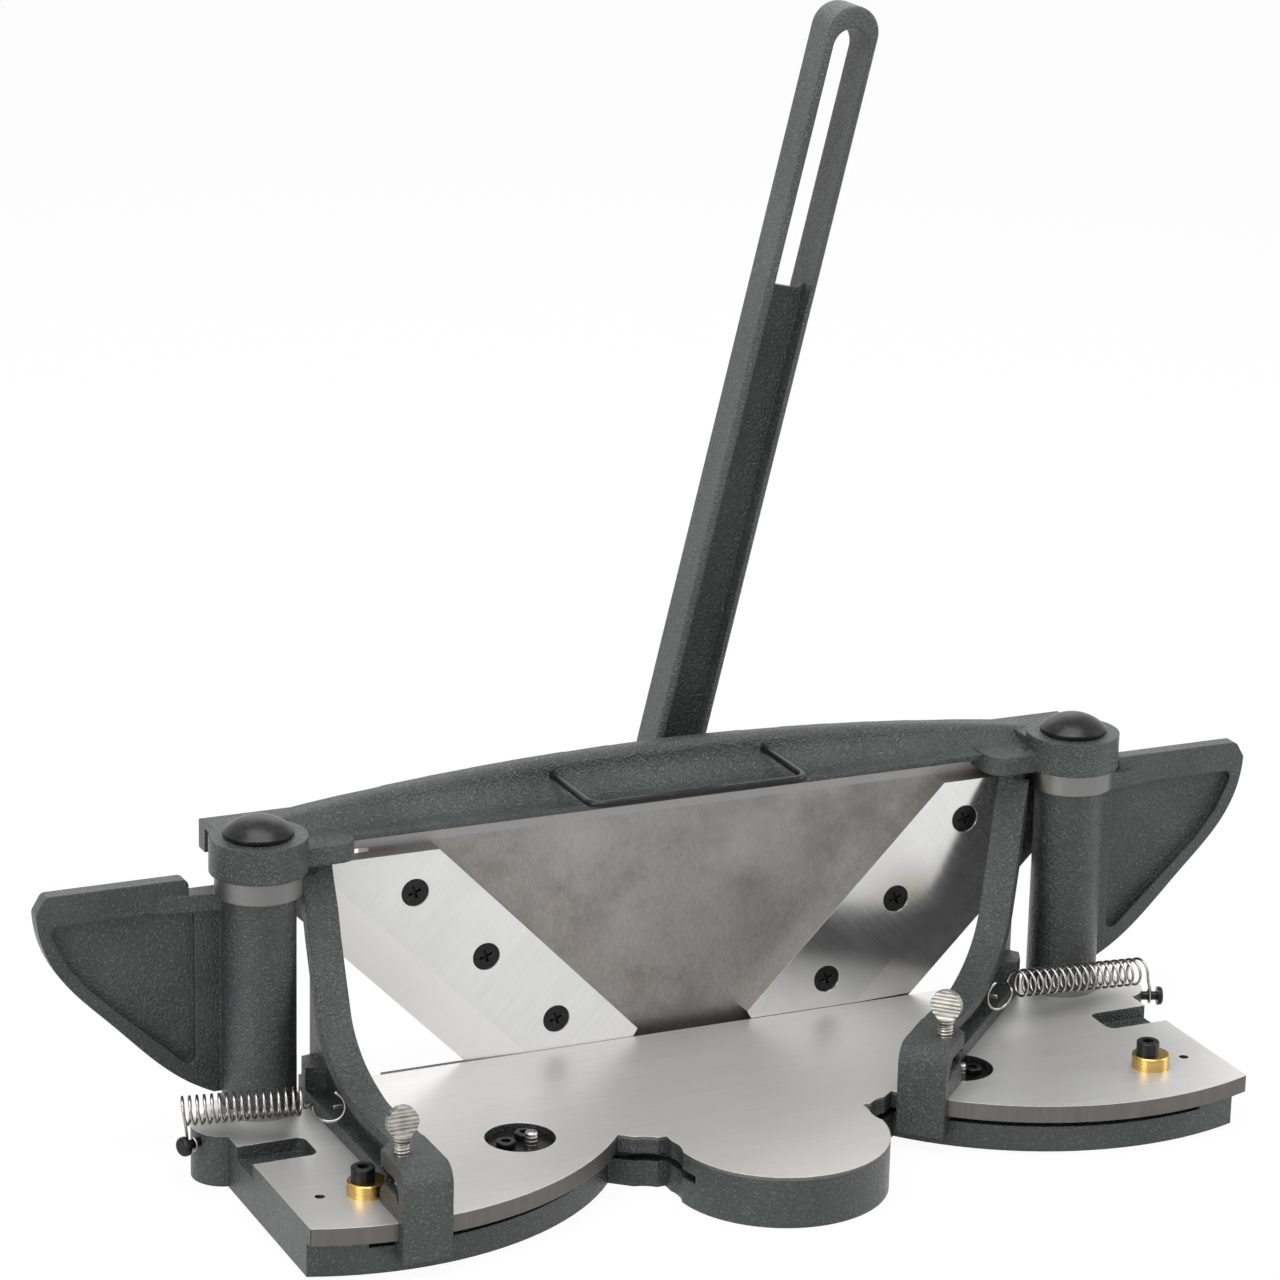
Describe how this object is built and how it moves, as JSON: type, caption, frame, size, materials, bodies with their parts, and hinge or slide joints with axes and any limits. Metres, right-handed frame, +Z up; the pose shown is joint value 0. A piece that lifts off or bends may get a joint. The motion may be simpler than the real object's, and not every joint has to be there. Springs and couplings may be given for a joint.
{
  "type": "mitre guillotine",
  "caption": "Hand-lever mitre trimmer: slanting knives on a sliding carriage between posts, with swinging fence arms on a ground table.",
  "frame": {"origin": "on the flat underside of the base, midway between the two posts", "axes": "+Z up, +X along the carriage travel to the right, -Y towards the user"},
  "size_m": [0.5744, 0.244, 0.4668],
  "materials": {
    "cast_paint": "dark grey hammered paint on cast iron",
    "milled_iron": "milled",
    "bright_steel": "ground",
    "black_steel": "black oxide",
    "zinc": "zinc plated",
    "brass": "turned"
  },
  "bodies": {
    "base": {"base_casting": "cast_paint", "left_post_wing": "cast_paint", "right_post_wing": "cast_paint", "top_beam": "cast_paint", "tie_bolts": "black_steel", "tie_bolt_nuts": "black_steel", "wire_guard": "black_steel", "recess_plates": "black_steel", "recess_screws": "black_steel", "angle_pins": "bright_steel", "stop_screws": "black_steel", "arm_pivot_pins": "bright_steel", "spring_anchor_screws": "black_steel", "left_arm_spring": "bright_steel", "right_arm_spring": "bright_steel", "lever_bracket": "cast_paint", "bracket_screws": "black_steel", "lever_pivot_stud": "bright_steel", "pivot_nut": "black_steel", "pivot_retainer": "black_steel", "pivot_screw": "black_steel"},
    "carriage": {"carriage_casting": "milled_iron", "left_blade": "bright_steel", "right_blade": "bright_steel", "blade_screws": "black_steel", "rack_bar": "bright_steel", "rack_screws": "black_steel"},
    "lever": {"lever_casting": "cast_paint", "lever_bushing": "brass", "gear_sector": "bright_steel", "sector_screws": "black_steel"},
    "left_arm": {"left_fence_arm": "cast_paint", "left_clamp_shoe": "bright_steel", "left_spring_pin": "black_steel"},
    "right_arm": {"right_fence_arm": "cast_paint", "right_clamp_shoe": "bright_steel", "right_spring_pin": "black_steel"},
    "left_thumb": {"left_thumb_screw": "zinc"},
    "right_thumb": {"right_thumb_screw": "zinc"},
    "left_stop": {"left_brass_stop": "brass"},
    "right_stop": {"right_brass_stop": "brass"}
  },
  "joints": [
    {"name": "carriage_slide", "type": "slide", "parent": "base", "child": "carriage", "axis": [1, 0, 0], "range_m": [-0.0727, 0.0433]},
    {"name": "lever_swing", "type": "hinge", "parent": "base", "child": "lever", "pos_m": [0, 0.055, 0.052], "axis": [0, 1, 0], "range_deg": [-66.2, 39.5]},
    {"name": "left_arm_swing", "type": "hinge", "parent": "base", "child": "left_arm", "pos_m": [-0.169, 0.0035, 0.05], "axis": [0, 0, 1], "range_deg": [0, 45], "deforming": ["left_arm_spring"]},
    {"name": "right_arm_swing", "type": "hinge", "parent": "base", "child": "right_arm", "pos_m": [0.169, 0.0035, 0.05], "axis": [0, 0, 1], "range_deg": [0, 45], "deforming": ["right_arm_spring"]},
    {"name": "left_thumb_turn", "type": "hinge", "parent": "left_arm", "child": "left_thumb", "pos_m": [-0.175, -0.1185, 0.05], "axis": [0, 0, 1], "continuous": true},
    {"name": "right_thumb_turn", "type": "hinge", "parent": "right_arm", "child": "right_thumb", "pos_m": [0.08698, -0.08701, 0.05], "axis": [0, 0, 1], "continuous": true},
    {"name": "left_stop_turn", "type": "hinge", "parent": "base", "child": "left_stop", "pos_m": [-0.1843, -0.0993, 0.025], "axis": [0, 0, 1], "range_deg": [-90, 90]},
    {"name": "right_stop_turn", "type": "hinge", "parent": "base", "child": "right_stop", "pos_m": [0.1807, -0.0993, 0.025], "axis": [0, 0, 1], "range_deg": [-20, 20]}
  ],
  "couplings": [
    {"joint": "lever_swing", "follows": "carriage_slide", "rad_per_m": 15.873}
  ]
}
